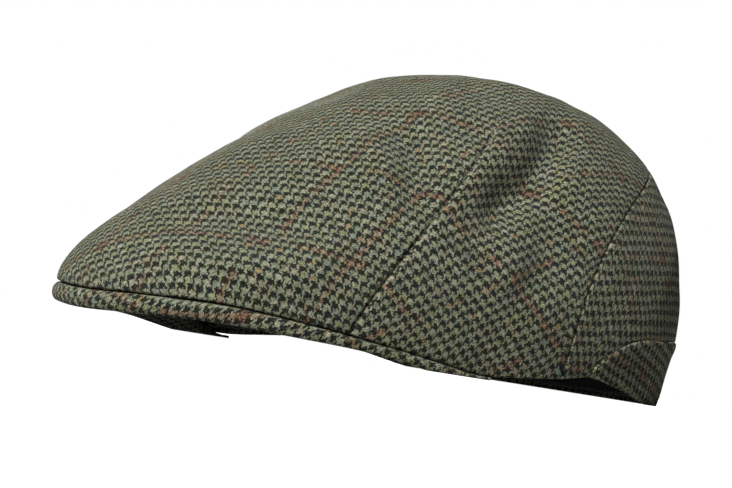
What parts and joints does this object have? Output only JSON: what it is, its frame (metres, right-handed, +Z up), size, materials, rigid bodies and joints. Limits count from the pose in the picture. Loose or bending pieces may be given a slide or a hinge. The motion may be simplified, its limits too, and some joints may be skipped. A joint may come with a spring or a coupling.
{
  "type": "flat cap",
  "caption": "Flat cap in two-tone wool tweed with a rounded crown sewn down onto a short curved peak, an arched back panel, a low back band and a dark ribbed sweatband.",
  "frame": {"origin": "on the surface that the cap lies on, under the centre of its outline", "axes": "+Z up, -Y towards the front of the peak, +X towards the wearer's left"},
  "size_m": [0.1804, 0.2714, 0.1182],
  "materials": {
    "tweed": "woven wool tweed, small sage-green and near-black houndstooth checks with a rust overcheck",
    "ribbon": "ribbed grosgrain ribbon, dark green-black"
  },
  "bodies": {
    "root": {"crown": "tweed", "back_panel": "tweed", "back_band": "tweed", "peak": "tweed", "sweatband": "ribbon"}
  },
  "joints": []
}
